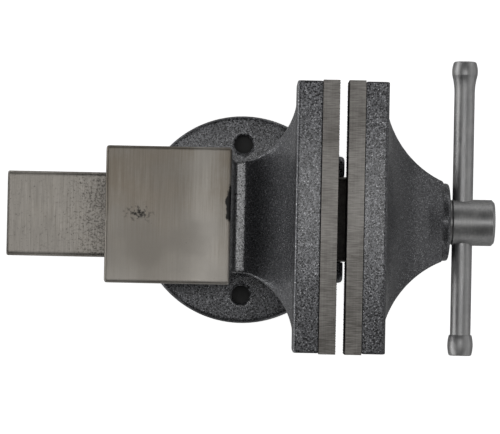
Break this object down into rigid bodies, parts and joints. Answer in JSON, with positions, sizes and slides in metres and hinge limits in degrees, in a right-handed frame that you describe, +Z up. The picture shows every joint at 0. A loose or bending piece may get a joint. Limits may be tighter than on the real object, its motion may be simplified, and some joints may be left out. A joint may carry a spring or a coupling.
{
  "type": "bench vise",
  "caption": "Engineer's bench vise with a fixed round base, a flat anvil, a sliding box beam, steel-faced jaws and a lead screw turned by a sliding bar handle.",
  "frame": {"origin": "centre of the base flange's underside, on the bench", "axes": "+X along the lead screw towards the handle, +Y along the jaws, +Z up"},
  "size_m": [0.2822, 0.1718, 0.152],
  "materials": {
    "casting_paint": "glossy dark grey hammered enamel",
    "ground_steel": "ground, with fine scratches across the jaw",
    "turned_steel": "satin turned steel",
    "dark_steel": "blackened steel",
    "bare_iron": "machined, oiled"
  },
  "bodies": {
    "fixed_body": {"body_casting": "casting_paint", "static_jaw_plate": "ground_steel", "static_plate_screw_left": "dark_steel", "static_plate_screw_right": "dark_steel", "lead_nut": "bare_iron", "nut_bolt_front": "dark_steel", "nut_bolt_rear": "dark_steel", "nut_washer_front": "turned_steel", "nut_washer_rear": "turned_steel"},
    "moving_jaw": {"moving_jaw_casting": "casting_paint", "moving_jaw_plate": "ground_steel", "moving_plate_screw_left": "dark_steel", "moving_plate_screw_right": "dark_steel", "retaining_spring": "dark_steel"},
    "spindle": {"lead_screw": "turned_steel", "thrust_washer": "turned_steel", "retaining_washer": "turned_steel", "split_pin": "turned_steel"},
    "handle": {"handle_bar": "turned_steel", "handle_cap": "turned_steel"}
  },
  "joints": [
    {"name": "jaw_slide", "type": "slide", "parent": "fixed_body", "child": "moving_jaw", "axis": [1, 0, 0], "range_m": [-0.0045, 0.115]},
    {"name": "screw_turn", "type": "hinge", "parent": "moving_jaw", "child": "spindle", "pos_m": [0, 0, 0.061], "axis": [1, 0, 0], "range_deg": [-325, 8281]},
    {"name": "handle_slide", "type": "slide", "parent": "spindle", "child": "handle", "axis": [0, 1, 0], "range_m": [-0.062, 0.0518]}
  ],
  "couplings": [
    {"joint": "screw_turn", "follows": "jaw_slide", "rad_per_m": 1256.6}
  ]
}
